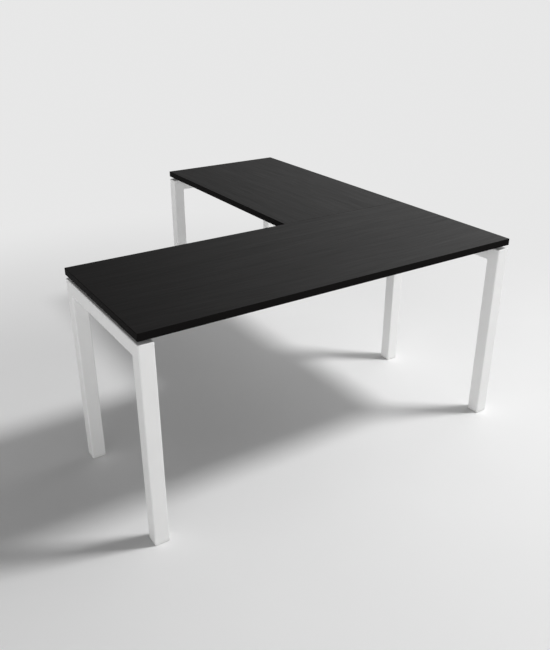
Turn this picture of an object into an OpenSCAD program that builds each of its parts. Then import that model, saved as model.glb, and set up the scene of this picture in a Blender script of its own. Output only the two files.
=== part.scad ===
// Corner desk. A long main top and a shorter return top behind its right-hand end stand on three
// square-tube portal frames. Beams under the tops join the frames, and six screw glides level it.
// +X runs along the main top, +Y towards the return, +Z up. The origin is on the floor, at the
// centre of the desk's outline. Millimetres.

/* [Tops] */
// Length of the main top
main_len = 1480; // [1300:10:1800]
// Depth of the main top, and width of the return top
top_depth = 600; // [550:10:800]
// Length of the return top behind the main top
return_len = 1040; // [700:10:1400]
// Height of the working surface
desk_h = 740; // [680:5:780]
// Thickness of the tops
top_t = 25; // [22:1:38]
// Thickness of the edge bands
band_t = 2; // [1:0.5:3]
// Space between the tops and the frames
top_gap = 12; // [8:1:20]

/* [Frames] */
// Side of the square frame tube
tube = 50; // [46:1:60]
// Wall of the frame tube
tube_wall = 2; // [1.5:0.5:3]
// Outer corner radius of the frame tube
tube_r = 4; // [2.5:0.5:5]

/* [Beams] */
// Height of the beams under the tops
beam_h = 40; // [30:1:40]
// Width of the beams
beam_w = 20; // [20:1:30]
// Wall of the beams
beam_wall = 1.5; // [1.5:0.5:2]
// Distance from a top's long edge to the centre of the beam beside it
beam_inset = 140; // [130:5:200]
// Thickness of the plate welded to each beam end
plate_t = 4; // [3:1:6]
// Width of that plate
plate_w = 100; // [85:5:120]

/* [Feet] */
// Height of the glide pads
pad_h = 6; // [6:1:10]
// Diameter of the glide pads
pad_d = 40; // [30:1:41]
// Space between the leg inserts and the floor
foot_gap = 2; // [1:0.5:5]
// Thickness of the leg inserts' flanges above the pads
flange_t = 4; // [3:1:6]
// Depth of the leg inserts inside the legs
plug_h = 24; // [20:1:40]
// Length of the glide studs above the pads
stud_len = 40; // [36:1:50]
// Diameter of the glide studs
stud_d = 8; // [6:1:8]

/* [Fasteners] */
// Diameter of the screws through the spacers
screw_d = 6; // [5:0.5:7]
// Diameter of the spacers
spacer_d = 20; // [16:1:25]
// Diameter of the end plates' bolts
bolt_d = 6; // [5:1:6]
// Distance from a bolt to the centre of its beam
bolt_reach = 35; // [25:1:36]

/* [Hidden] */
$fn = 48;

// Colours
black_decor = [0.15, 0.14, 0.14];
black_edge = [0.07, 0.07, 0.07];
white_paint = [0.93, 0.93, 0.92];
white_plastic = [0.86, 0.86, 0.84];
dark_plastic = [0.16, 0.16, 0.17];
zinc = [0.72, 0.73, 0.75];

// Outline of the desk
x_left = -main_len / 2;
x_right = main_len / 2;
y_front = -(top_depth + return_len) / 2;
y_seam = y_front + top_depth;
y_end = -y_front;
x_return = x_right - top_depth;
main_corner = [x_left, y_front];
return_corner = [x_return, y_seam];

// Levels
z_under = desk_h - top_t;
z_frame = z_under - top_gap;
z_tube = pad_h + flange_t;
z_beam = z_frame - beam_h / 2;

// Clearance of a fitted pin in its hole, and slack of a screw or bolt in a through hole
fit = 0.05;
slack = 0.25;
// How far a cutting shape runs past the face that it cuts
over = 1;

// Frames: origin and turn of each. A frame is drawn with its rail along X and its inner side at +Y
frame_w = top_depth;
left_frame = [x_left, y_seam, -90];
right_frame = [x_right, y_front, 90];
end_frame = [x_right, y_end, 180];
frames = [left_frame, right_frame, end_frame];
start_leg = 0;
last_leg = 1;
// Least radius inside a tube's corners
tube_r_min = 0.5;

// Screws into the tops
screw_bite = 16;
screw_head_r = 5.25;
screw_head_h = 3.5;
access_r = 6;
rail_screw_inset = 80;
rail_screws = [rail_screw_inset, frame_w - rail_screw_inset];

// Bolts and rivet nuts of the end plates
bolt_len = 15;
bolt_head_r = 5.25;
bolt_head_h = 3.3;
socket_af = 4;
socket_depth = 2;
rivet_r = 4.5;
rivet_len = 12;
rivet_flange_r = 6.5;
rivet_flange_t = 1;
plate_r = 4;
beam_r = 2.5;
beam_start = rivet_flange_t + plate_t;

// Beams: where they lie, and the faces that their ends bolt to, with the way each beam leaves its face
beam_ys = [y_front + beam_inset, y_seam - beam_inset];
beam_xs = [x_return + beam_inset, x_right - beam_inset];
y_rear_face = beam_ys[1] + beam_w / 2;
function main_left_joint(i) = [x_left + tube, beam_ys[i], 0];
function main_right_joint(i) = [x_right - tube, beam_ys[i], 180];
function return_near_joint(i) = [beam_xs[i], y_rear_face, 90];
function return_far_joint(i) = [beam_xs[i], y_end - tube, -90];
joints = [for (i = [0, 1]) each
    [main_left_joint(i), main_right_joint(i), return_near_joint(i), return_far_joint(i)]];
rail_nuts = [for (u = [beam_inset, frame_w - beam_inset], s = [-1, 1]) u + s * bolt_reach];
rear_beam_nuts = [for (x = beam_xs, s = [-1, 1]) x - x_left - tube + s * bolt_reach];

// Screws through the beams into the tops
main_beam_screws = [-main_len / 3, 0, main_len / 3];
return_screw_margin = [70, 130];
return_screw_step = (return_len - return_screw_margin[0] - return_screw_margin[1]) / 2;
return_beam_screws = [for (i = [0 : 2]) y_seam + return_screw_margin[0] + i * return_screw_step];

// Plates under the seam, and their screws
seam_plate = [60, 140, 3];
seam_plate_r = 6;
seam_plate_margin = 70;
seam_reach = top_depth / 2 - seam_plate_margin;
seam_xs = [for (i = [-1 : 1]) x_return + top_depth / 2 + i * seam_reach];
seam_screw_x = 18;
seam_screw_ys = [22, 52];
seam_grid = [for (x = [-1, 1], side = [-1, 1], y = seam_screw_ys) [x * seam_screw_x, side * y]];
seam_points = [for (x = seam_xs, g = seam_grid) [x + g[0], y_seam + g[1]]];
seam_screw_r = 2.25;
seam_screw_bite = 15;
seam_head_r = 4.25;
seam_head_h = 2.5;

// Leg inserts
pad_slack = 0.75;
pad_pocket_r = pad_d / 2 + pad_slack;
plug_slack = 0.4;
plug_w = tube - 2 * tube_wall - plug_slack;
plug_wall = 3;
boss_r = 10;
rib_t = 3;
insert_bore_slack = 0.5;
insert_bore_r = stud_d / 2 + insert_bore_slack;
nut_af = 13;
nut_h = 6.5;
z_nut = z_tube + plug_h - nut_h;

// Glides
pad_floor = 2;
pad_chamfer = 0.8;
stud_head_r = 7;
stud_head_h = 3;
grip_count = 12;
grip_r = 2.2;
grip_depth = 1.2;

// Where the spacers and their screws stand
function placed(p, u, v) = [p[0] + u * cos(p[2]) - v * sin(p[2]), p[1] + u * sin(p[2]) + v * cos(p[2])];
rail_points = [for (f = frames, u = rail_screws) placed(f, u, tube / 2)];
main_beam_points = [for (x = main_beam_screws, y = beam_ys) [x, y]];
return_beam_points = [for (x = beam_xs, y = return_beam_screws) [x, y]];
beam_points = concat(main_beam_points, return_beam_points);
top_points = concat(rail_points, beam_points);

// Helpers

module place(p) translate([p[0], p[1], 0]) rotate(p[2]) children();

// Lies a shape's Z along X, keeping its Y upright
module along_x() rotate([90, 0, 90]) children();

module rounded_rect(w, h, r) {
    translate([-w / 2 + r, -h / 2]) square([w - 2 * r, h]);
    translate([-w / 2, -h / 2 + r]) square([w, h - 2 * r]);
    for (x = [-1, 1], y = [-1, 1]) translate([x * (w / 2 - r), y * (h / 2 - r)]) circle(r);
}

module tube_section(w, h, r, wall) difference() {
    rounded_rect(w, h, r);
    rounded_rect(w - 2 * wall, h - 2 * wall, max(r - wall, tube_r_min));
}

// Upright cylinder between two levels
module rod(r, z0, z1) translate([0, 0, z0]) cylinder(r = r, h = z1 - z0);

module hexagon(af) circle(d = af / cos(30), $fn = 6);

// Tops

module pilot_holes(points, r, depth)
    for (p = points) translate([p[0], p[1], 0]) rod(r + fit, z_under - over, z_under + depth + over);

module top_board(corner, w, d) color(black_decor) difference() {
    translate([corner[0] + band_t, corner[1] + band_t, z_under])
        cube([w - 2 * band_t, d - 2 * band_t, top_t]);
    pilot_holes([for (p = top_points) if ((p[1] < y_seam) == (corner[1] < y_seam)) p],
        screw_d / 2, screw_bite);
    pilot_holes([for (p = seam_points) if ((p[1] < y_seam) == (corner[1] < y_seam)) p],
        seam_screw_r, seam_screw_bite);
}

// Front band for side 0, rear band for side 1
module long_band(corner, w, d, side) color(black_edge)
    translate([corner[0], corner[1] + side * (d - band_t), z_under]) cube([w, band_t, top_t]);

// Left band for side 0, right band for side 1
module side_band(corner, w, d, side) color(black_edge)
    translate([corner[0] + side * (w - band_t), corner[1] + band_t, z_under])
        cube([band_t, d - 2 * band_t, top_t]);

// Frames

// Keeps the part of a frame member that lies inside an outline drawn in the frame's own plane
module mitred(outline) intersection() {
    children();
    translate([0, tube + over, 0]) rotate([90, 0, 0]) linear_extrude(tube + 2 * over) polygon(outline);
}

module frame_leg(frame, leg) color(white_paint) place(frame)
    translate([leg * frame_w, 0, 0]) mirror([leg, 0, 0])
        mitred([[-over, z_tube - over], [tube + over, z_tube - over],
                [tube + over, z_frame - tube - over], [-over, z_frame + over]])
            translate([tube / 2, tube / 2, z_tube])
                linear_extrude(z_frame - z_tube) tube_section(tube, tube, tube_r, tube_wall);

module frame_rail(frame) color(white_paint) place(frame) difference() {
    mitred([[-over, z_frame + over], [frame_w + over, z_frame + over],
            [frame_w - tube - over, z_frame - tube - over], [tube + over, z_frame - tube - over]])
        translate([0, tube / 2, z_frame - tube / 2])
            along_x() linear_extrude(frame_w) tube_section(tube, tube, tube_r, tube_wall);
    for (u = rail_screws) translate([u, tube / 2, 0]) {
        rod(screw_d / 2 + slack, z_frame - tube / 2, z_frame + over);
        rod(access_r, z_frame - tube - over, z_frame - tube / 2);
    }
    for (u = rail_nuts) translate([u, tube + over, z_beam])
        rotate([90, 0, 0]) cylinder(r = rivet_r + fit, h = tube / 2);
}

// Beams

// A beam between two bolted faces, with screws through it and rivet nut holes in its +Y side
module beam(start, length, screws, nuts) color(white_paint) place(start) difference() {
    translate([beam_start, 0, z_beam])
        along_x() linear_extrude(length - 2 * beam_start) tube_section(beam_w, beam_h, beam_r, beam_wall);
    for (u = screws) translate([u, 0, 0]) {
        rod(screw_d / 2 + slack, z_beam, z_frame + over);
        rod(access_r, z_frame - beam_h - over, z_beam);
    }
    for (u = nuts) translate([u, beam_w / 2 + over, z_beam])
        rotate([90, 0, 0]) cylinder(r = rivet_r + fit, h = beam_w / 2);
}

module main_beam(i, nuts) beam(main_left_joint(i), main_len - 2 * tube,
    [for (x = main_beam_screws) x - x_left - tube], nuts);

module return_beam(i) beam(return_near_joint(i), y_end - tube - y_rear_face,
    [for (y = return_beam_screws) y - y_rear_face], []);

module end_plate(joint) color(white_paint) place(joint)
    translate([rivet_flange_t, 0, z_beam]) along_x() linear_extrude(plate_t) difference() {
        rounded_rect(plate_w, beam_h, plate_r);
        for (s = [-1, 1]) translate([s * bolt_reach, 0]) circle(bolt_d / 2 + slack);
    }

module at_bolts() for (j = joints, s = [-1, 1])
    place(j) translate([0, s * bolt_reach, z_beam]) along_x() children();

module plate_bolts() color(zinc) at_bolts() difference() {
    union() {
        rod(bolt_d / 2, beam_start - bolt_len, beam_start);
        rod(bolt_head_r, beam_start, beam_start + bolt_head_h);
    }
    translate([0, 0, beam_start + bolt_head_h - socket_depth])
        linear_extrude(socket_depth + over) hexagon(socket_af);
}

module rivet_nuts() color(zinc) at_bolts() difference() {
    union() {
        rod(rivet_r, -rivet_len, 0);
        rod(rivet_flange_r, 0, rivet_flange_t);
    }
    rod(bolt_d / 2 + fit, -rivet_len - over, rivet_flange_t + over);
}

// Spacers and screws under the tops

module spacers(points) color(dark_plastic) for (p = points) translate([p[0], p[1], 0]) difference() {
    rod(spacer_d / 2, z_frame, z_under);
    rod(screw_d / 2 + slack, z_frame - over, z_under + over);
}

module top_screw(p, wall) translate([p[0], p[1], 0]) {
    rod(screw_d / 2, z_frame - wall, z_under + screw_bite);
    rod(screw_head_r, z_frame - wall - screw_head_h, z_frame - wall);
}

module top_screws() color(zinc) {
    for (p = rail_points) top_screw(p, tube_wall);
    for (p = beam_points) top_screw(p, beam_wall);
}

module seam_plate(i) color(zinc) translate([seam_xs[i], y_seam, z_under - seam_plate[2]])
    linear_extrude(seam_plate[2]) difference() {
        rounded_rect(seam_plate[0], seam_plate[1], seam_plate_r);
        for (g = seam_grid) translate(g) circle(seam_screw_r + slack);
    }

module seam_screws() color(zinc) for (p = seam_points) translate([p[0], p[1], z_under - seam_plate[2]]) {
    rod(seam_screw_r, 0, seam_plate[2] + seam_screw_bite);
    rod(seam_head_r, -seam_head_h, 0);
}

// Feet

module at_foot(frame, leg) place(frame)
    translate([leg * (frame_w - tube) + tube / 2, tube / 2, 0]) children();

// A plug inside the leg, with a flange under the leg's end and a skirt round the pad
module leg_insert(frame, leg) color(white_plastic) at_foot(frame, leg) difference() {
    union() {
        translate([0, 0, foot_gap]) linear_extrude(z_tube - foot_gap) rounded_rect(tube, tube, tube_r);
        translate([0, 0, z_tube]) linear_extrude(plug_h) {
            difference() {
                rounded_rect(plug_w, plug_w, tube_r - tube_wall);
                square(plug_w - 2 * plug_wall, center = true);
            }
            circle(boss_r);
            square([plug_w - plug_wall, rib_t], center = true);
            square([rib_t, plug_w - plug_wall], center = true);
        }
    }
    rod(pad_pocket_r, foot_gap - over, pad_h);
    rod(insert_bore_r, pad_h - over, z_nut + over);
    translate([0, 0, z_nut]) linear_extrude(nut_h + over) hexagon(nut_af + 2 * fit);
}

module foot_nuts() color(zinc) for (f = frames, leg = [start_leg, last_leg]) at_foot(f, leg)
    translate([0, 0, z_nut]) linear_extrude(nut_h) difference() {
        hexagon(nut_af);
        circle(stud_d / 2 + fit);
    }

module glide_pad(frame, leg) color(dark_plastic) at_foot(frame, leg) difference() {
    r = pad_d / 2;
    pocket_r = stud_head_r + fit;
    neck_r = stud_d / 2 + fit;
    z_lip = pad_floor + stud_head_h;
    rotate_extrude() polygon([
        [0, 0], [r - pad_chamfer, 0], [r, pad_chamfer], [r, pad_h - pad_chamfer], [r - pad_chamfer, pad_h],
        [neck_r, pad_h], [neck_r, z_lip], [pocket_r, z_lip], [pocket_r, pad_floor], [0, pad_floor]
    ]);
    for (i = [0 : grip_count - 1]) rotate(i * 360 / grip_count)
        translate([r + grip_r - grip_depth, 0, 0]) rod(grip_r, -over, pad_h + over);
}

module glide_stud(frame, leg) color(zinc) at_foot(frame, leg) {
    rod(stud_head_r, pad_floor, pad_floor + stud_head_h);
    rod(stud_d / 2, pad_floor + stud_head_h, pad_h + stud_len);
}

top_board(main_corner, main_len, top_depth);  // main_board
long_band(main_corner, main_len, top_depth, 0);  // main_band_front
long_band(main_corner, main_len, top_depth, 1);  // main_band_rear
side_band(main_corner, main_len, top_depth, 0);  // main_band_left
side_band(main_corner, main_len, top_depth, 1);  // main_band_right
top_board(return_corner, top_depth, return_len);  // return_board
long_band(return_corner, top_depth, return_len, 0);  // return_band_front
long_band(return_corner, top_depth, return_len, 1);  // return_band_rear
side_band(return_corner, top_depth, return_len, 0);  // return_band_left
side_band(return_corner, top_depth, return_len, 1);  // return_band_right
frame_leg(left_frame, last_leg);  // left_front_leg
frame_leg(left_frame, start_leg);  // left_rear_leg
frame_rail(left_frame);  // left_rail
frame_leg(right_frame, start_leg);  // right_front_leg
frame_leg(right_frame, last_leg);  // right_rear_leg
frame_rail(right_frame);  // right_rail
frame_leg(end_frame, last_leg);  // end_left_leg
frame_leg(end_frame, start_leg);  // end_right_leg
frame_rail(end_frame);  // end_rail
main_beam(0, []);  // main_front_beam
main_beam(1, rear_beam_nuts);  // main_rear_beam
return_beam(0);  // return_left_beam
return_beam(1);  // return_right_beam
end_plate(main_left_joint(0));  // main_front_plate_left
end_plate(main_right_joint(0));  // main_front_plate_right
end_plate(main_left_joint(1));  // main_rear_plate_left
end_plate(main_right_joint(1));  // main_rear_plate_right
end_plate(return_near_joint(0));  // return_left_plate_near
end_plate(return_far_joint(0));  // return_left_plate_far
end_plate(return_near_joint(1));  // return_right_plate_near
end_plate(return_far_joint(1));  // return_right_plate_far
plate_bolts();
rivet_nuts();
spacers(rail_points);  // rail_spacers
spacers(beam_points);  // beam_spacers
top_screws();
seam_plate(0);  // seam_plate_left
seam_plate(1);  // seam_plate_middle
seam_plate(2);  // seam_plate_right
seam_screws();
leg_insert(left_frame, last_leg);  // left_front_insert
leg_insert(left_frame, start_leg);  // left_rear_insert
leg_insert(right_frame, start_leg);  // right_front_insert
leg_insert(right_frame, last_leg);  // right_rear_insert
leg_insert(end_frame, last_leg);  // end_left_insert
leg_insert(end_frame, start_leg);  // end_right_insert
foot_nuts();
glide_pad(left_frame, last_leg);  // left_front_pad
glide_pad(left_frame, start_leg);  // left_rear_pad
glide_pad(right_frame, start_leg);  // right_front_pad
glide_pad(right_frame, last_leg);  // right_rear_pad
glide_pad(end_frame, last_leg);  // end_left_pad
glide_pad(end_frame, start_leg);  // end_right_pad
glide_stud(left_frame, last_leg);  // left_front_stud
glide_stud(left_frame, start_leg);  // left_rear_stud
glide_stud(right_frame, start_leg);  // right_front_stud
glide_stud(right_frame, last_leg);  // right_rear_stud
glide_stud(end_frame, last_leg);  // end_left_stud
glide_stud(end_frame, start_leg);  // end_right_stud
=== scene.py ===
"""Looks of the corner desk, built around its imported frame.

Metres, in the desk's own frame: +X runs along the main top, +Y towards the return, +Z up.
"""
import math
from collections import namedtuple

import bmesh
import bpy
from mathutils import Matrix, Vector


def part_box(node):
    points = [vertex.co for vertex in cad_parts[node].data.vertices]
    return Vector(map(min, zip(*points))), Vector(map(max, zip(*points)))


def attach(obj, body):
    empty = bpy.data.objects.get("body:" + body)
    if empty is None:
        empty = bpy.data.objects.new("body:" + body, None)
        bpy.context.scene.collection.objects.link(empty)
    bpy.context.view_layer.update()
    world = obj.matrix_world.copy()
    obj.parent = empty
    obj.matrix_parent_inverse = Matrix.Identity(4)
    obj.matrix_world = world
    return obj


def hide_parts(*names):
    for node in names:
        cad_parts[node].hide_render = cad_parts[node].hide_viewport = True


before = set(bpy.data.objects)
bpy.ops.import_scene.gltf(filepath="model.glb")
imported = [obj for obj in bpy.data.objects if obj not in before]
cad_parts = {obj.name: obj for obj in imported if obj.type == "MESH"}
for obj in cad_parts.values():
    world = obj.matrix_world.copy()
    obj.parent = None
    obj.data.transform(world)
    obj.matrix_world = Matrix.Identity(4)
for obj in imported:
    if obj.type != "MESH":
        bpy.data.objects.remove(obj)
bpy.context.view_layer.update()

MM = 0.001
TOUCH = 0.001 * MM
QUARTER = math.pi / 2
DESK = "desk"
FEET = ("left_front", "left_rear", "right_front", "right_rear", "end_left", "end_right")
scene = bpy.context.scene


# ---------------------------------------------------------------- camera, light and floor

CAMERA_EYE = Vector((-1.3868, -2.5029, 1.6015))
CAMERA_AIM = Vector((0.4569, 0.3381, 0.0))
CAMERA_LENS = 40.295

KEY_PLACE = Vector((3.4, -2.28, 5.6))
KEY_AIM = Vector((0.0, 0.0, 0.4))
KEY_SIZE = 1.25
KEY_POWER = 279.0

# Large soft lights far round the room: azimuth from +X and elevation in degrees, how narrow, how strong
SOFT_LIGHTS = [
    (40, 12, 10, 0.64),
    (180, 12, 10, 0.90),
    (180, 3, 14, 0.70),
    (225, 3, 14, 3.90),
    (0, 28, 10, 1.85),
    (300, 8, 10, 0.72),
    (0, 45, 6, 0.20),
]
ROOM_LEVEL = 0.02
HORIZON_BLEND = 0.02
BACKDROP = (0.803, 0.803, 0.803)

FLOOR_RADIUS = 120.0
FLOOR_RINGS = (0.5, 1.0, 2.0, 4.0, 8.0, 16.0, 40.0, FLOOR_RADIUS)
FLOOR_SIDES = 96
FADE_CENTRE = Vector((-0.35, -0.70, 0.0))
FLOOR_LIT_TO = 1.25
FLOOR_FADED_FROM = 3.5
FLOOR_ALBEDO = 0.86
FLOOR_MOTTLE = 0.02
FLOOR_MOTTLE_SCALE = 1.7


def aimed(obj, place, aim):
    """Puts obj at place and turns its -Z axis towards aim."""
    obj.location = place
    obj.rotation_euler = (aim - place).to_track_quat("-Z", "Y").to_euler()
    scene.collection.objects.link(obj)
    return obj


def make_camera():
    data = bpy.data.cameras.new("camera")
    data.lens = CAMERA_LENS
    data.clip_end = 4 * FLOOR_RADIUS
    scene.camera = aimed(bpy.data.objects.new("camera", data), CAMERA_EYE, CAMERA_AIM)


class Nodes:
    """Short calls for building one node tree."""

    def __init__(self, tree):
        self.tree = tree
        tree.nodes.clear()

    def add(self, kind, inputs=None, **settings):
        node = self.tree.nodes.new(kind)
        for key, value in settings.items():
            setattr(node, key, value)
        for key, value in (inputs or {}).items():
            self.feed(node.inputs[key], value)
        return node

    def feed(self, socket, value):
        """Links an output to the socket, or sets the socket's own value."""
        if isinstance(value, bpy.types.NodeSocket):
            self.tree.links.new(value, socket)
        else:
            socket.default_value = value

    def math(self, operation, a, b):
        return self.add("ShaderNodeMath", {0: a, 1: b}, operation=operation).outputs[0]

    def vector(self, operation, a, b, output="Vector"):
        return self.add("ShaderNodeVectorMath", {0: a, 1: b}, operation=operation).outputs[output]

    def span(self, value, low, high, to_low=0.0, to_high=1.0, smooth=False):
        """Maps low..high to to_low..to_high, clamped."""
        kind = "SMOOTHSTEP" if smooth else "LINEAR"
        node = self.add("ShaderNodeMapRange", {0: value, 1: low, 2: high, 3: to_low, 4: to_high},
                        interpolation_type=kind)
        return node.outputs[0]

    def mix(self, factor, a, b):
        """Mixes two colours: the node's colour sockets are inputs 6 and 7, and output 2."""
        node = self.add("ShaderNodeMix", {"Factor": factor}, data_type="RGBA")
        self.feed(node.inputs[6], a)
        self.feed(node.inputs[7], b)
        return node.outputs[2]

    def noise(self, vector, scale, detail, roughness=0.5):
        inputs = {"Vector": vector, "Scale": scale, "Detail": detail, "Roughness": roughness}
        return self.add("ShaderNodeTexNoise", inputs).outputs["Fac"]

    def stretched(self, vector, scale):
        return self.add("ShaderNodeMapping", {"Vector": vector, "Scale": scale}).outputs[0]


def grey(level):
    return (level, level, level, 1.0)


def make_world():
    world = bpy.data.worlds.new("studio")
    world.use_nodes = True
    scene.world = world
    n = Nodes(world.node_tree)
    way = n.add("ShaderNodeTexCoord").outputs["Generated"]
    level = ROOM_LEVEL
    for azimuth, elevation, narrow, strong in SOFT_LIGHTS:
        a, e = math.radians(azimuth), math.radians(elevation)
        towards = (math.cos(a) * math.cos(e), math.sin(a) * math.cos(e), math.sin(e))
        facing = n.vector("DOT_PRODUCT", way, towards, "Value")
        lobe = n.math("POWER", n.math("MAXIMUM", facing, 0.0), narrow)
        level = n.math("ADD", level, n.math("MULTIPLY", lobe, strong))
    height = n.add("ShaderNodeSeparateXYZ", {0: way}).outputs["Z"]
    strength = n.math("MULTIPLY", level, n.span(height, 0.0, HORIZON_BLEND))
    lit = n.add("ShaderNodeBackground", {"Color": (1.0, 1.0, 1.0, 1.0), "Strength": strength})
    seen = n.add("ShaderNodeBackground", {"Color": (*BACKDROP, 1.0), "Strength": 1.0})
    is_camera = n.add("ShaderNodeLightPath").outputs["Is Camera Ray"]
    both = n.add("ShaderNodeMixShader", {0: is_camera, 1: lit.outputs[0], 2: seen.outputs[0]})
    n.add("ShaderNodeOutputWorld", {"Surface": both.outputs[0]})


def make_key_light():
    data = bpy.data.lights.new("key", "AREA")
    data.shape = "DISK"
    data.size = KEY_SIZE
    data.energy = KEY_POWER
    key = aimed(bpy.data.objects.new("key", data), KEY_PLACE, KEY_AIM)
    key.visible_camera = False


def make_floor():
    bm = bmesh.new()
    angles = evenly(FLOOR_SIDES)
    grid = [[bm.verts.new(point) for point in circle(radius, 0.0, angles)] for radius in FLOOR_RINGS]
    bm.faces.new(grid[0])
    for inner, outer in zip(grid, grid[1:]):
        for i in range(FLOOR_SIDES):
            j = (i + 1) % FLOOR_SIDES
            bm.faces.new((inner[i], outer[i], outer[j], inner[j]))
    mesh = bpy.data.meshes.new("floor")
    bm.to_mesh(mesh)
    bm.free()
    floor = bpy.data.objects.new("floor", mesh)
    scene.collection.objects.link(floor)
    mesh.materials.append(floor_material())


def floor_material():
    """Matt pale paper that fades with distance into the backdrop's own level."""
    material = bpy.data.materials.new("pale_floor")
    material.use_nodes = True
    n = Nodes(material.node_tree)
    place = n.add("ShaderNodeTexCoord").outputs["Object"]
    mottle = n.noise(place, FLOOR_MOTTLE_SCALE, 3.0)
    colour = n.mix(mottle, grey(FLOOR_ALBEDO - FLOOR_MOTTLE), grey(FLOOR_ALBEDO + FLOOR_MOTTLE))
    paper = n.add("ShaderNodeBsdfDiffuse", {"Color": colour})
    glow = n.add("ShaderNodeEmission", {"Color": (*BACKDROP, 1.0), "Strength": 1.0})
    reach = n.vector("DISTANCE", place, FADE_CENTRE, "Value")
    fade = n.span(reach, FLOOR_LIT_TO, FLOOR_FADED_FROM, smooth=True)
    mixed = n.add("ShaderNodeMixShader", {0: fade, 1: paper.outputs[0], 2: glow.outputs[0]})
    n.add("ShaderNodeOutputMaterial", {"Surface": mixed.outputs[0]})
    return material


# ---------------------------------------------------------------- materials
# Texture scales are in repeats per metre. A pair of them is along the grain and across it. A roughness
# pair goes with the low and the high end of the texture that drives it.

NOISE_SPAN = (0.3, 0.7)

DECOR_DARK = (0.0036, 0.0033, 0.0032, 1.0)
DECOR_LIGHT = (0.0104, 0.0096, 0.0094, 1.0)
DECOR_PORE = (0.0015, 0.0014, 0.0014, 1.0)
DECOR_GLOSS = 0.2
DECOR_ROUGHNESS = (0.50, 0.40)
DECOR_BUMP = (0.35, 0.12 * MM)
WANDER_SCALES = (0.9, 2.5)
WANDER_REACH = 0.11
BROAD_SCALES = (0.8, 26.0)
BROAD_SHARE = 0.2
FINE_SCALES = (5.0, 420.0)
STREAK_SPAN = (0.36, 0.64)
PORE_SCALES = (34.0, 1300.0)
PORE_SPAN = (0.60, 0.70)
PORE_DARKENING = 0.7
STREAK_HEIGHT = 0.4

BAND_DARK = (0.0046, 0.0043, 0.0042, 1.0)
BAND_LIGHT = (0.0090, 0.0084, 0.0083, 1.0)
BAND_SIDE_GLOSS = 0.01
BAND_TOP_GLOSS = 0.2
BAND_ROUGHNESS = (0.56, 0.46)
BAND_LINE_SCALES = (14.0, 14.0, 1400.0)
BAND_BUMP = (0.2, 0.06 * MM)

COAT_DARK = (0.80, 0.80, 0.795, 1.0)
COAT_LIGHT = (0.85, 0.85, 0.845, 1.0)
COAT_SPECK = (0.70, 0.70, 0.69, 1.0)
COAT_SPECK_SHARE = 0.25
COAT_SPECK_SPAN = (0.66, 0.74)
COAT_DRIFT_SCALE = 9.0
COAT_SPECK_SCALE = 900.0
COAT_GLOSS_SCALE = 260.0
COAT_PEEL_SCALE = 520.0
COAT_ROUGHNESS = (0.40, 0.52)
COAT_BUMP = (0.25, 0.2 * MM)

PLASTIC_CLOUD_SCALE = 60.0
PLASTIC_ROUGHNESS = (0.48, 0.62)
PLASTIC_BUMP = (0.35, 0.15 * MM)

ZINC_DARK = (0.50, 0.51, 0.53, 1.0)
ZINC_LIGHT = (0.70, 0.71, 0.72, 1.0)
ZINC_CLOUD_SCALE = 85.0
ZINC_SCRATCH_SCALES = (60.0, 2400.0, 900.0)
ZINC_ROUGHNESS = (0.24, 0.42)
ZINC_BUMP = (0.15, 0.08 * MM)


def surface(name, colour, roughness, height, bump, **fixed):
    """A Principled material. colour, roughness and height are functions of (nodes, place)."""
    material = bpy.data.materials.new(name)
    material.use_nodes = True
    n = Nodes(material.node_tree)
    place = n.add("ShaderNodeTexCoord").outputs["Object"]
    shader = n.add("ShaderNodeBsdfPrincipled")
    n.feed(shader.inputs["Base Color"], colour(n, place))
    n.feed(shader.inputs["Roughness"], roughness(n, place))
    for key, value in fixed.items():
        shader.inputs[key.replace("_", " ")].default_value = value
    strength, distance = bump
    inputs = {"Strength": strength, "Distance": distance, "Height": height(n, place)}
    n.feed(shader.inputs["Normal"], n.add("ShaderNodeBump", inputs).outputs[0])
    n.add("ShaderNodeOutputMaterial", {"Surface": shader.outputs[0]})
    return material


def grain(along):
    """Wood grain that runs along axis 0 (X) or 1 (Y): three functions, for colour, roughness and height."""

    def lengthwise(long, across):
        return (long, across, across) if along == 0 else (across, long, across)

    def wandering(n, place):
        """The place, pushed a little sideways so that the streaks wander."""
        drift = n.noise(n.stretched(place, lengthwise(*WANDER_SCALES)), 1.0, 2.0)
        push = n.math("MULTIPLY", n.math("SUBTRACT", drift, 0.5), WANDER_REACH)
        shift = n.add("ShaderNodeCombineXYZ", {1 - along: push}).outputs[0]
        return n.vector("ADD", place, shift)

    def streaks(n, place):
        wavy = wandering(n, place)
        broad = n.noise(n.stretched(wavy, lengthwise(*BROAD_SCALES)), 1.0, 5.0, 0.6)
        fine = n.noise(n.stretched(wavy, lengthwise(*FINE_SCALES)), 1.0, 3.0, 0.6)
        broad_part = n.math("MULTIPLY", broad, BROAD_SHARE)
        return n.math("ADD", broad_part, n.math("MULTIPLY", fine, 1 - BROAD_SHARE))

    def pores(n, place):
        """1 in the short dark pores, 0 between them."""
        dashes = n.noise(n.stretched(wandering(n, place), lengthwise(*PORE_SCALES)), 1.0, 2.0)
        return n.span(dashes, *PORE_SPAN)

    def colour(n, place):
        base = n.mix(n.span(streaks(n, place), *STREAK_SPAN), DECOR_DARK, DECOR_LIGHT)
        return n.mix(n.math("MULTIPLY", pores(n, place), PORE_DARKENING), base, DECOR_PORE)

    def roughness(n, place):
        return n.span(streaks(n, place), *STREAK_SPAN, *DECOR_ROUGHNESS)

    def height(n, place):
        ridges = n.math("MULTIPLY", streaks(n, place), STREAK_HEIGHT)
        return n.math("SUBTRACT", ridges, pores(n, place))

    return colour, roughness, height


def decor_material(name, along):
    """Black wood-grain board with its grain along axis 0 or 1."""
    return surface(name, *grain(along), DECOR_BUMP, Specular_IOR_Level=DECOR_GLOSS)


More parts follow.
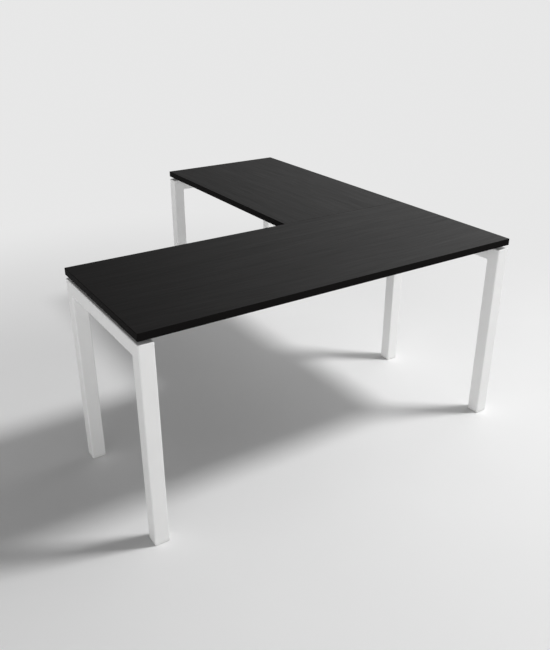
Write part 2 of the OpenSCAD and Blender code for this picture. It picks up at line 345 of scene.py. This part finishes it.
def band_material(name, gloss):
    """Black edge band, with faint drawn lines along it."""

    def lines(n, place):
        return n.noise(n.stretched(place, BAND_LINE_SCALES), 1.0, 3.0, 0.6)

    def colour(n, place):
        return n.mix(lines(n, place), BAND_DARK, BAND_LIGHT)

    def roughness(n, place):
        return n.span(lines(n, place), *NOISE_SPAN, *BAND_ROUGHNESS)

    return surface(name, colour, roughness, lines, BAND_BUMP, Specular_IOR_Level=gloss)


def powder_coat_material():
    """White powder coat: fine orange peel, and a faint drift in its tone."""

    def colour(n, place):
        drift = n.noise(place, COAT_DRIFT_SCALE, 3.0)
        speck = n.span(n.noise(place, COAT_SPECK_SCALE, 2.0), *COAT_SPECK_SPAN)
        base = n.mix(drift, COAT_DARK, COAT_LIGHT)
        return n.mix(n.math("MULTIPLY", speck, COAT_SPECK_SHARE), base, COAT_SPECK)

    def roughness(n, place):
        return n.span(n.noise(place, COAT_GLOSS_SCALE, 2.0), *NOISE_SPAN, *COAT_ROUGHNESS)

    def peel(n, place):
        return n.noise(place, COAT_PEEL_SCALE, 3.0, 0.55)

    return surface("white_powder_coat_looks", colour, roughness, peel, COAT_BUMP)


def plastic_material(name, dark, light, texture_scale):
    """Moulded plastic with a fine spark-eroded texture."""

    def colour(n, place):
        clouds = n.noise(place, PLASTIC_CLOUD_SCALE, 3.0)
        return n.mix(clouds, (*dark, 1.0), (*light, 1.0))

    def roughness(n, place):
        return n.span(n.noise(place, texture_scale / 2, 2.0), *NOISE_SPAN, *PLASTIC_ROUGHNESS)

    def texture(n, place):
        return n.noise(place, texture_scale, 3.0, 0.6)

    return surface(name, colour, roughness, texture, PLASTIC_BUMP)


def zinc_material():
    """Bright zinc plate: cloudy passivation with fine drawn scratches."""

    def clouds(n, place):
        return n.noise(place, ZINC_CLOUD_SCALE, 4.0, 0.6)

    def scratches(n, place):
        return n.noise(n.stretched(place, ZINC_SCRATCH_SCALES), 1.0, 2.0)

    def colour(n, place):
        return n.mix(clouds(n, place), ZINC_DARK, ZINC_LIGHT)

    def roughness(n, place):
        return n.span(clouds(n, place), *NOISE_SPAN, *ZINC_ROUGHNESS)

    return surface("zinc_plate", colour, roughness, scratches, ZINC_BUMP, Metallic=1.0)


# The looks, by the record's slot names. Three have names of their own: decor_main and decor_return are
# the slot decor_board with its grain along each top, and band_top is for the edge bands' upper strips.
MATERIALS = {
    "decor_main": decor_material("black_decor_main", 0),
    "decor_return": decor_material("black_decor_return", 1),
    "edge_band": band_material("black_edge_band", BAND_SIDE_GLOSS),
    "band_top": band_material("black_band_top", BAND_TOP_GLOSS),
    "white_powder_coat": powder_coat_material(),
    "zinc_steel": zinc_material(),
    "spacer_plastic": plastic_material(
        "black_spacer", (0.010, 0.010, 0.011), (0.016, 0.016, 0.017), 1500.0),
    "insert_plastic": plastic_material(
        "white_insert", (0.74, 0.74, 0.73), (0.80, 0.80, 0.79), 1300.0),
    "pad_plastic": plastic_material(
        "dark_pad", (0.018, 0.018, 0.020), (0.030, 0.030, 0.032), 1200.0),
}


# ---------------------------------------------------------------- mesh helpers

SHARP = 35.0
SHARP_WELD = 80.0
SHARP_SCREW = 40.0
SHARP_STUD = 50.0


def add_piece(name, bm, body, slot, nodes=(), sharp=SHARP):
    """Makes a smooth-shaded object of bm, sharp where its faces meet above that angle in degrees."""
    bmesh.ops.recalc_face_normals(bm, faces=bm.faces)
    mesh = bpy.data.meshes.new(name)
    bm.to_mesh(mesh)
    bm.free()
    mesh.shade_smooth()
    mesh.set_sharp_from_angle(angle=math.radians(sharp))
    mesh.materials.append(MATERIALS[slot])
    piece = bpy.data.objects.new(name, mesh)
    scene.collection.objects.link(piece)
    normals = piece.modifiers.new("weighted_normals", "WEIGHTED_NORMAL")
    normals.keep_sharp = True
    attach(piece, body)
    if nodes:
        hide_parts(*nodes)
    return piece


def join_rings(bm, rings, closed=False):
    """Joins rings of points, all of one length, into a tube. closed joins the last ring to the first, else
    each end gets a face."""
    loops = [[bm.verts.new(p) for p in ring] for ring in rings]
    pairs = list(zip(loops, loops[1:]))
    if closed:
        pairs.append((loops[-1], loops[0]))
    count = len(loops[0])
    for low, high in pairs:
        for i in range(count):
            j = (i + 1) % count
            bm.faces.new((low[i], low[j], high[j], high[i]))
    if not closed:
        bm.faces.new(loops[0][::-1])
        bm.faces.new(loops[-1])
    return loops


def circle(radius, z, angles):
    return [Vector((radius * math.cos(a), radius * math.sin(a), z)) for a in angles]


def evenly(count):
    """That many angles all round."""
    return [2 * math.pi * i / count for i in range(count)]


def rounded_square(side, radius, steps):
    """Points round a square centred on the origin, with arcs of that many steps at its corners."""
    points = []
    for corner in range(4):
        start = corner * QUARTER
        cx = (side / 2 - radius) * (1 if corner in (0, 3) else -1)
        cy = (side / 2 - radius) * (1 if corner in (0, 1) else -1)
        for i in range(steps + 1):
            a = start + i * QUARTER / steps
            points.append((cx + radius * math.cos(a), cy + radius * math.sin(a)))
    return points


def copies(bm, matrices):
    """Turns the one shape in bm into one copy of it for each matrix."""
    template = bpy.data.meshes.new("template")
    bm.to_mesh(template)
    bm.clear()
    for matrix in matrices:
        first = len(bm.verts)
        bm.from_mesh(template)
        bm.verts.ensure_lookup_table()
        bmesh.ops.transform(bm, matrix=matrix, verts=bm.verts[first:])
    bpy.data.meshes.remove(template)


# ---------------------------------------------------------------- tops

BAND_RADIUS = 1.3 * MM
SEAM_BAND_RADIUS = 0.5 * MM
SEAM_BANDS = ("main_band_rear", "return_band_front")
BAND_STEPS = 4
GLUE_CHAMFER = 0.15 * MM
LONG_EDGE = 0.1
FACES_UP = 0.9
TOP_SIDES = {
    "front": ((0, -1), True),
    "rear": ((0, 1), True),
    "left": ((-1, 0), False),
    "right": ((1, 0), False),
}


def edge_band(node, outward, runs_to_corners):
    """A band with rounded outer edges, a hairline chamfer beside the board and a glossier upper strip."""
    low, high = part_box(node)
    bm = bmesh.new()
    bmesh.ops.create_cube(bm, size=1.0)
    for vert in bm.verts:
        vert.co = Vector(high[i] if vert.co[i] > 0 else low[i] for i in range(3))
    axis = 0 if outward[0] else 1
    inner = low[axis] if outward[axis] > 0 else high[axis]

    def on_inner_face(edge):
        return all(abs(v.co[axis] - inner) < TOUCH for v in edge.verts)

    def runs_lengthwise(edge):
        return abs((edge.verts[1].co - edge.verts[0].co)[1 - axis]) > LONG_EDGE

    outer_edges = [e for e in bm.edges
                   if not on_inner_face(e) and (runs_lengthwise(e) or runs_to_corners)]
    radius = SEAM_BAND_RADIUS if node in SEAM_BANDS else BAND_RADIUS
    bmesh.ops.bevel(bm, geom=outer_edges, offset=radius, segments=BAND_STEPS, profile=0.5,
                    affect="EDGES", clamp_overlap=True)
    inner_edges = [e for e in bm.edges if on_inner_face(e) and runs_lengthwise(e)]
    bmesh.ops.bevel(bm, geom=inner_edges, offset=GLUE_CHAMFER, segments=1, affect="EDGES")
    bmesh.ops.dissolve_degenerate(bm, dist=TOUCH, edges=bm.edges)
    band = add_piece(node + "_rounded", bm, DESK, "edge_band", [node])
    band.data.materials.append(MATERIALS["band_top"])
    for face in band.data.polygons:
        face.material_index = 1 if face.normal.z > FACES_UP else 0


def make_tops():
    """Edge bands round both tops. The boards themselves are CAD nodes, which dress_nodes finishes."""
    for top in ("main", "return"):
        for side, (outward, runs_to_corners) in TOP_SIDES.items():
            edge_band(f"{top}_band_{side}", outward, runs_to_corners)


# ---------------------------------------------------------------- frames

TUBE_WALL = 2 * MM
TUBE_RADIUS = 4 * MM
CORNER_STEPS = 6
GROUND_RADIUS = 1.2 * MM
FILLET_RADIUS = 2.2 * MM
END_ROUND = 0.4 * MM
FOLD_STEPS = 4
SCREW_HOLE = 3.25 * MM
ACCESS_HOLE = 6 * MM
NUT_HOLE = 4.55 * MM
SCREW_INSET = 80 * MM
BEAM_INSET = 140 * MM
BEAM_DROP = 20 * MM
BOLT_REACH = 35 * MM
ROD_SIDES = 32
RAILS = {
    "left": ("left_rear_leg", "left_front_leg"),
    "right": ("right_front_leg", "right_rear_leg"),
    "end": ("end_right_leg", "end_left_leg"),
}
BEAM_PLATES = {
    "main_front_beam": ("main_front_plate_left", "main_front_plate_right"),
    "main_rear_beam": ("main_rear_plate_left", "main_rear_plate_right"),
    "return_left_beam": ("return_left_plate_near", "return_left_plate_far"),
    "return_right_beam": ("return_right_plate_near", "return_right_plate_far"),
}


def make_frames():
    """The three portals. Each is built along +X with its outer face at y = 0, then turned into place."""
    boxes = {name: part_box(f"{name}_rail") for name in RAILS}
    places = {
        "left": ((boxes["left"][0].x, boxes["left"][1].y), -90),
        "right": ((boxes["right"][1].x, boxes["right"][0].y), 90),
        "end": ((boxes["end"][1].x, boxes["end"][1].y), 180),
    }
    for name, ((x, y), turn) in places.items():
        place = Matrix.Translation((x, y, 0)) @ Matrix.Rotation(math.radians(turn), 4, "Z")
        portal(name, place, [f"{name}_rail", *RAILS[name]])


def portal(name, place, nodes):
    """One welded portal: a square tube that runs up a leg, along the rail and down the other leg."""
    rail_low, rail_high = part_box(nodes[0])
    leg_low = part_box(nodes[1])[0]
    side = rail_high.z - rail_low.z
    width = max(rail_high.x - rail_low.x, rail_high.y - rail_low.y)
    centre_z = rail_high.z - side / 2

    def ring(points, path_point):
        return [path_point(a, b) for a, b in points]

    def up(z):
        return lambda a, b: Vector((side / 2 - a, side / 2 + b, z))

    def down(z):
        return lambda a, b: Vector((width - side / 2 + a, side / 2 + b, z))

    def fold(t, mirrored):
        """A ring on the mitre: t from 0 to 1 goes round the ground or filleted corner."""
        def point(a, b):
            share = (a / side) + 0.5
            radius = FILLET_RADIUS + (GROUND_RADIUS - FILLET_RADIUS) * share
            angle = t * QUARTER
            x = side / 2 - a + radius * (1 - math.cos(angle))
            z = centre_z + a - radius * (1 - math.sin(angle))
            return Vector((width - x if mirrored else x, side / 2 + b, z))
        return point

    def skin(points, z_end, rounding):
        rings = []
        if rounding:
            small = [(a * (1 - 2 * rounding / side), b * (1 - 2 * rounding / side)) for a, b in points]
            rings.append(ring(small, up(z_end)))
        rings.append(ring(points, up(z_end + rounding)))
        turns = [i / FOLD_STEPS for i in range(FOLD_STEPS + 1)]
        rings += [ring(points, fold(t, False)) for t in turns]
        rings += [ring(points, fold(t, True)) for t in reversed(turns)]
        rings.append(ring(points, down(z_end + rounding)))
        if rounding:
            rings.append(ring(small, down(z_end)))
        return rings

    bore = side - 2 * TUBE_WALL
    bm = bmesh.new()
    outside = skin(rounded_square(side, TUBE_RADIUS, CORNER_STEPS), leg_low.z, END_ROUND)
    inside = skin(rounded_square(bore, TUBE_RADIUS - TUBE_WALL, CORNER_STEPS), leg_low.z, 0.0)
    join_rings(bm, outside + inside[::-1], closed=True)
    bmesh.ops.transform(bm, matrix=place, verts=bm.verts)
    tube = add_piece(f"{name}_frame_tube", bm, DESK, "white_powder_coat", nodes)
    cut(tube, rail_holes(place, side, width, rail_high.z))
    portal_welds(f"{name}_frame_welds", place, side, width, rail_high.z)


def rail_holes(place, side, width, top):
    """Cutters for a rail's screw holes with their access holes below, and for its rivet nuts."""
    bm = bmesh.new()
    screws = (SCREW_INSET, width - SCREW_INSET)
    spots = [(u, SCREW_HOLE, top - side / 2, top + MM) for u in screws]
    spots += [(u, ACCESS_HOLE, top - side - MM, top - side / 2) for u in screws]
    for u, radius, z0, z1 in spots:
        rod(bm, radius, z0, z1, place @ Matrix.Translation((u, side / 2, 0)))
    for u in (BEAM_INSET, width - BEAM_INSET):
        for way in (-1, 1):
            facing = place @ Matrix.Translation((u + way * BOLT_REACH, side, top - BEAM_DROP))
            rod(bm, NUT_HOLE, -side / 2, MM, facing @ Matrix.Rotation(-QUARTER, 4, "X"))
    return bm


def rod(bm, radius, z0, z1, matrix):
    """Adds a cylinder along the matrix's own Z."""
    loops = join_rings(bm, [circle(radius, z, evenly(ROD_SIDES)) for z in (z0, z1)])
    bmesh.ops.transform(bm, matrix=matrix, verts=[v for loop in loops for v in loop])


def cut(piece, cutter_bm):
    """Subtracts the cutter from the piece's own mesh."""
    bmesh.ops.recalc_face_normals(cutter_bm, faces=cutter_bm.faces)
    mesh = bpy.data.meshes.new("cutter")
    cutter_bm.to_mesh(mesh)
    cutter_bm.free()
    cutter = bpy.data.objects.new("cutter", mesh)
    scene.collection.objects.link(cutter)
    boolean = piece.modifiers.new("cut", "BOOLEAN")
    boolean.operation = "DIFFERENCE"
    boolean.solver = "EXACT"
    boolean.object = cutter
    piece.modifiers.move(len(piece.modifiers) - 1, 0)
    bpy.context.view_layer.update()
    weighted = piece.modifiers.get("weighted_normals")
    weighted.show_viewport = False
    evaluated = piece.evaluated_get(bpy.context.evaluated_depsgraph_get())
    done = bpy.data.meshes.new_from_object(evaluated)
    weighted.show_viewport = True
    piece.modifiers.remove(boolean)
    old = piece.data
    piece.data = done
    done.name = piece.name
    done.set_sharp_from_angle(angle=math.radians(SHARP))
    bpy.data.objects.remove(cutter)
    bpy.data.meshes.remove(mesh)
    bpy.data.meshes.remove(old)


# ---------------------------------------------------------------- welds

WELD_SIZE = 3.0 * MM
WELD_PITCH = 1.9 * MM
WELD_RIPPLE = 0.16
WELD_CHEVRON = 0.8 * WELD_PITCH
WELD_ROOT = 0.3 * MM
WELD_END_SHARE = 0.25
WELD_END_POWER = 8
WELD_ARC = 6
WELD_STEPS_PER_RIPPLE = 6
BEAM_WELD_SHORTER = 5 * MM


def bead(bm, corner, along, out_a, out_b, length):
    """A fillet weld of that length, centred on corner: along is its run, out_a and out_b its two faces."""
    along, out_a, out_b = Vector(along), Vector(out_a), Vector(out_b)
    count = round(length / WELD_PITCH * WELD_STEPS_PER_RIPPLE)
    rings = []
    for i in range(count + 1):
        share = i / count
        s = (share - 0.5) * length
        end = math.sqrt(max(0.0, 1 - (2 * share - 1) ** WELD_END_POWER))
        taper = WELD_END_SHARE + (1 - WELD_END_SHARE) * end
        ring = [corner + along * s - (out_a + out_b) * WELD_ROOT]
        for k in range(WELD_ARC + 1):
            t = k / WELD_ARC * QUARTER
            chevron = s + WELD_CHEVRON * math.sin(2 * t)
            ripple = 1 + WELD_RIPPLE * (abs(math.sin(math.pi * chevron / WELD_PITCH)) - 0.5)
            radius = WELD_SIZE * ripple * taper
            ring.append(corner + along * s + (out_a * math.cos(t) + out_b * math.sin(t)) * radius)
        rings.append(ring)
    join_rings(bm, rings)


def portal_welds(name, place, side, width, top):
    """Welds in a portal's two inside corners."""
    bm = bmesh.new()
    length = side - 2 * TUBE_RADIUS
    for x, way in ((side, 1), (width - side, -1)):
        bead(bm, Vector((x, side / 2, top - side)), (0, 1, 0), (way, 0, 0), (0, 0, -1), length)
    bmesh.ops.transform(bm, matrix=place, verts=bm.verts)
    add_piece(name, bm, DESK, "white_powder_coat", sharp=SHARP_WELD)


def beam_welds():
    """Welds up both sides of every beam, where it meets its end plates."""
    bm = bmesh.new()
    for beam, plates in BEAM_PLATES.items():
        low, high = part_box(beam)
        run = 0 if high.x - low.x > high.y - low.y else 1
        across = 1 - run
        for plate in plates:
            p_low, p_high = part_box(plate)
            at_low = p_low[run] + p_high[run] < low[run] + high[run]
            way = Vector((0, 0, 0))
            way[run] = 1 if at_low else -1
            for side_way in (-1, 1):
                out = Vector((0, 0, 0))
                out[across] = side_way
                corner = Vector((0, 0, (low.z + high.z) / 2))
                corner[run] = p_high[run] if at_low else p_low[run]
                corner[across] = high[across] if side_way > 0 else low[across]
                bead(bm, corner, (0, 0, 1), way, out, high.z - low.z - BEAM_WELD_SHORTER)
    add_piece("beam_welds", bm, DESK, "white_powder_coat", sharp=SHARP_WELD)


# ---------------------------------------------------------------- screws, bolts and glide studs

WoodScrew = namedtuple("WoodScrew", "radius pitch bite head_radius head_height recess depth")
TOP_SCREW = WoodScrew(radius=3.0 * MM, pitch=2.6 * MM, bite=16 * MM, head_radius=5.25 * MM,
                      head_height=3.5 * MM, recess=(2.6 * MM, 0.55 * MM), depth=1.9 * MM)
SEAM_SCREW = WoodScrew(radius=2.25 * MM, pitch=2.2 * MM, bite=15 * MM, head_radius=4.25 * MM,
                       head_height=2.5 * MM, recess=(2.0 * MM, 0.45 * MM), depth=1.4 * MM)
WOOD_ROOT_SHARE = 0.72
WOOD_SHANK_SHARE = 0.9
WOOD_TIP = 0.15 * MM
WOOD_POINT = 2 * MM
WOOD_RUNOUT = 0.5 * MM
WOOD_CREST = 2.5
LEVEL_DIGITS = 5

HEX_FLATS = 4 * MM
HEX_DEPTH = 2 * MM
HEX_POINTS = 24
BOLT_RADIUS = 3.0 * MM
BOLT_ROOT = 2.5 * MM
BOLT_TIP = 2.3 * MM
BOLT_SHANK = 2.95 * MM
BOLT_PITCH = 1.0 * MM
BOLT_LENGTH = 15 * MM
BOLT_THREAD = (-14.4 * MM, -4 * MM)
BOLT_RUNOUT = -3.5 * MM
BOLT_HEAD_RADIUS = 5.25 * MM
BOLT_HEAD_HEIGHT = 3.3 * MM

STUD_RADIUS = 4.0 * MM
STUD_PITCH = 1.25 * MM
STUD_HEAD = 3 * MM
STUD_ROOT_SHARE = 0.61
STUD_EDGE = 0.3 * MM
STUD_NECK = 0.6 * MM
STUD_PLAIN = 0.8 * MM
STUD_TIP = 0.5 * MM
STUD_TIP_TAPER = 0.4 * MM
STUD_SIDES = 28

RIDGE_GAIN = 1.15
RIDGE_FLOOR = 0.08
HEAD_CHAMFER = 0.25 * MM
HEAD_FLAT_SHARE = 0.78
HEAD_WALL_SHARE = 0.55
HEAD_DOME_SHARE = 0.45
HEAD_DOME_STEPS = (0.35, 0.65, 0.85, 1.0)
RECESS_STEPS = ((0.9, 0.86), (1.0, 0.45))


def thread(radius, root, pitch, z0, z1, angles, per_turn, crest=1.0):
    """Rings of a helical thread between two levels. A higher crest value makes it sharper and wider set."""
    rings = []
    steps = max(2, round((z1 - z0) / pitch * per_turn))
    for k in range(steps + 1):
        z = z0 + (z1 - z0) * k / steps
        end = min(1.0, (z - z0) / pitch, (z1 - z) / pitch)
        ring = []
        for a in angles:
            phase = (z / pitch - a / (2 * math.pi)) % 1.0
            ridge = min(1.0, max(0.0, RIDGE_GAIN * (1 - abs(2 * phase - 1)) - RIDGE_FLOOR)) ** crest
            r = root + (radius - root) * ridge * end
            ring.append(Vector((r * math.cos(a), r * math.sin(a), z)))
        rings.append(ring)
    return rings


def cross_angles(reach, half):
    """Angles that fall on every corner of a cross recess, with its radius at each: a list of pairs."""
    tip = math.atan2(half, reach)
    middle = (tip + QUARTER / 2) / 2
    pairs = []
    for turn in range(4):
        for t in (0.0, tip, middle, QUARTER / 2, QUARTER - middle, QUARTER - tip):
            fold = min(t, QUARTER - t)
            radius = reach / math.cos(fold) if fold < (tip + middle) / 2 else half / math.sin(fold)
            pairs.append((t + turn * QUARTER, radius))
    return pairs


def hex_angles(flats):
    """Angles round a hexagonal recess, with its radius at each: a list of pairs."""
    pairs = []
    for a in evenly(HEX_POINTS):
        fold = (a + math.pi / 6) % (math.pi / 3) - math.pi / 6
        pairs.append((a, flats / 2 / math.cos(fold)))
    return pairs


def headed(bm, matrices, shank_rings, head_r, head_h, drive, depth):
    """A screw, head up with its seat at z = 0, copied to each matrix. drive is the recess's outline."""
    angles = [a for a, _ in drive]
    wall = head_h * HEAD_FLAT_SHARE * HEAD_WALL_SHARE
    rings = list(shank_rings)
    rings.append(circle(head_r - HEAD_CHAMFER, 0.0, angles))
    rings.append(circle(head_r, HEAD_CHAMFER, angles))
    rings.append(circle(head_r, wall, angles))
    for share in HEAD_DOME_STEPS:
        radius = head_r - head_r * HEAD_DOME_SHARE * (1 - math.sqrt(1 - share ** 2))
        rings.append(circle(radius, wall + (head_h - wall) * math.sin(share * QUARTER), angles))
    for deep, scale in ((0.0, 1.0), *RECESS_STEPS):
        z = head_h - deep * depth
        rings.append([Vector((r * scale * math.cos(a), r * scale * math.sin(a), z)) for a, r in drive])
    join_rings(bm, rings)
    copies(bm, matrices)


def wood_screw_shank(radius, length, bite, pitch, angles):
    """Rings from a wood screw's point, up its thread and its plain shank, to the head's seat."""
    root = radius * WOOD_ROOT_SHARE
    plain = radius * WOOD_SHANK_SHARE
    rings = [circle(WOOD_TIP, -length, angles)]
    rings += thread(radius, root, pitch, -length + WOOD_POINT, -length + bite, angles, per_turn=5,
                    crest=WOOD_CREST)
    rings.append(circle(plain, -length + bite + WOOD_RUNOUT, angles))
    rings.append(circle(plain, 0.0, angles))
    return rings


def facing_down(spots):
    """Matrices that turn a screw upside down, with its seat at each spot."""
    return [Matrix.Translation(spot) @ Matrix.Rotation(math.pi, 4, "X") for spot in spots]


def clusters(node):
    """The boxes of a node's separate solids."""
    bm = bmesh.new()
    bm.from_mesh(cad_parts[node].data)
    bmesh.ops.remove_doubles(bm, verts=bm.verts, dist=TOUCH)
    seen, boxes = set(), []
    for vert in bm.verts:
        if vert in seen:
            continue
        stack, members = [vert], []
        seen.add(vert)
        while stack:
            v = stack.pop()
            members.append(v.co)
            for edge in v.link_edges:
                other = edge.other_vert(v)
                if other not in seen:
                    seen.add(other)
                    stack.append(other)
        boxes.append((Vector(min(c[i] for c in members) for i in range(3)),
                      Vector(max(c[i] for c in members) for i in range(3))))
    bm.free()
    return boxes


def make_wood_screws(name, node, size):
    """Pan-head screws that point up, one for each solid of the CAD node, made length by length."""
    drive = cross_angles(*size.recess)
    angles = [a for a, _ in drive]
    lengths = {}
    for low, high in clusters(node):
        centre = (low + high) / 2
        lengths.setdefault(round(low.z, LEVEL_DIGITS), []).append((centre.x, centre.y))
    bm = bmesh.new()
    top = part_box(node)[1].z
    for level, spots in lengths.items():
        seat = level + size.head_height
        one = bmesh.new()
        shank = wood_screw_shank(size.radius, top - seat, size.bite, size.pitch, angles)
        matrices = facing_down([Vector((x, y, seat)) for x, y in spots])
        headed(one, matrices, shank, size.head_radius, size.head_height, drive, size.depth)
        merge(bm, one)
    add_piece(name, bm, DESK, "zinc_steel", [node], sharp=SHARP_SCREW)


def make_plate_bolts():
    """Button-head bolts through the end plates, each pointing into the face behind its plate."""
    drive = hex_angles(HEX_FLATS)
    angles = [a for a, _ in drive]
    plates = [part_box(plate) for pair in BEAM_PLATES.values() for plate in pair]
    matrices = []
    for low, high in clusters("plate_bolts"):
        centre = (low + high) / 2
        run = 0 if high.x - low.x > high.y - low.y else 1
        near = min(plates, key=lambda box: ((box[0] + box[1]) / 2 - centre).length)
        plate_mid = (near[0] + near[1]) / 2
        head_is_high = high[run] - plate_mid[run] < plate_mid[run] - low[run]
        outward = Vector((0, 0, 0))
        outward[run] = 1.0 if head_is_high else -1.0
        seat = centre.copy()
        seat[run] = near[1][run] if head_is_high else near[0][run]
        turn = outward.to_track_quat("Z", "Y").to_matrix().to_4x4()
        matrices.append(Matrix.Translation(seat) @ turn)
    shank = [circle(BOLT_TIP, -BOLT_LENGTH, angles)]
    shank += thread(BOLT_RADIUS, BOLT_ROOT, BOLT_PITCH, *BOLT_THREAD, angles, per_turn=6)
    shank += [circle(BOLT_SHANK, BOLT_RUNOUT, angles), circle(BOLT_SHANK, 0.0, angles)]
    bm = bmesh.new()
    headed(bm, matrices, shank, BOLT_HEAD_RADIUS, BOLT_HEAD_HEIGHT, drive, HEX_DEPTH)
    add_piece("button_head_bolts", bm, DESK, "zinc_steel", ["plate_bolts"], sharp=SHARP_SCREW)


def merge(bm, other):
    """Adds other's mesh to bm, and frees it."""
    mesh = bpy.data.meshes.new("part")
    other.to_mesh(mesh)
    other.free()
    bm.from_mesh(mesh)
    bpy.data.meshes.remove(mesh)


def make_studs():
    """Threaded glide studs, each with its head held in the pad."""
    angles = evenly(STUD_SIDES)
    root = STUD_RADIUS - STUD_ROOT_SHARE * STUD_PITCH
    for foot in FEET:
        low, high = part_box(f"{foot}_stud")
        head_r = (high.x - low.x) / 2
        neck = low.z + STUD_HEAD
        below_thread = [
            (head_r - STUD_EDGE, low.z), (head_r, low.z + STUD_EDGE), (head_r, neck - STUD_EDGE),
            (head_r - STUD_EDGE, neck), (root + STUD_EDGE, neck), (root, neck + STUD_NECK),
        ]
        above_thread = [(root, high.z - STUD_TIP), (root - STUD_TIP_TAPER, high.z)]
        ends = (neck + STUD_PLAIN, high.z - STUD_PLAIN)
        rings = [circle(radius, z, angles) for radius, z in below_thread]
        rings += thread(STUD_RADIUS, root, STUD_PITCH, *ends, angles, per_turn=8)
        rings += [circle(radius, z, angles) for radius, z in above_thread]
        bm = bmesh.new()
        join_rings(bm, rings)
        centre = (low + high) / 2
        bmesh.ops.translate(bm, vec=(centre.x, centre.y, 0), verts=bm.verts)
        add_piece(f"{foot}_threaded_stud", bm, f"{foot}_foot", "zinc_steel", [f"{foot}_stud"],
                  sharp=SHARP_STUD)


# ---------------------------------------------------------------- dressing of the carried-over nodes

# How far the edges of a CAD node are rounded, by a word in its name
EDGE_ROUNDS = {
    "plate": 0.5 * MM,
    "insert": 0.6 * MM,
    "spacers": 0.4 * MM,
    "nuts": 0.3 * MM,
    "pad": 0.3 * MM,
    "beam": 0.3 * MM,
}
ROUNDED_ABOVE = math.radians(40)
BOARD_LOOKS = {"main_board": "decor_main", "return_board": "decor_return"}


def soften(node_object, width):
    """Rounds a CAD node's sharp edges."""
    weld = node_object.modifiers.new("weld", "WELD")
    weld.merge_threshold = TOUCH
    bevel = node_object.modifiers.new("edges", "BEVEL")
    bevel.width = width
    bevel.segments = 2
    bevel.limit_method = "ANGLE"
    bevel.angle_limit = ROUNDED_ABOVE
    normals = node_object.modifiers.new("weighted_normals", "WEIGHTED_NORMAL")
    normals.keep_sharp = True


def dress_nodes():
    """Gives each CAD node that still shows its finished material, and softer edges."""
    for name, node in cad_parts.items():
        if node.hide_render:
            continue
        look = BOARD_LOOKS.get(name, node.data.materials[0].name)
        node.data.materials.clear()
        node.data.materials.append(MATERIALS[look])
        widths = [width for word, width in EDGE_ROUNDS.items() if word in name]
        if widths:
            soften(node, widths[0])


scene.view_settings.view_transform = "Standard"
make_camera()
make_world()
make_key_light()
make_floor()
make_tops()
make_frames()
beam_welds()
make_wood_screws("pan_head_screws", "top_screws", TOP_SCREW)
make_wood_screws("seam_plate_screws", "seam_screws", SEAM_SCREW)
make_plate_bolts()
make_studs()
dress_nodes()
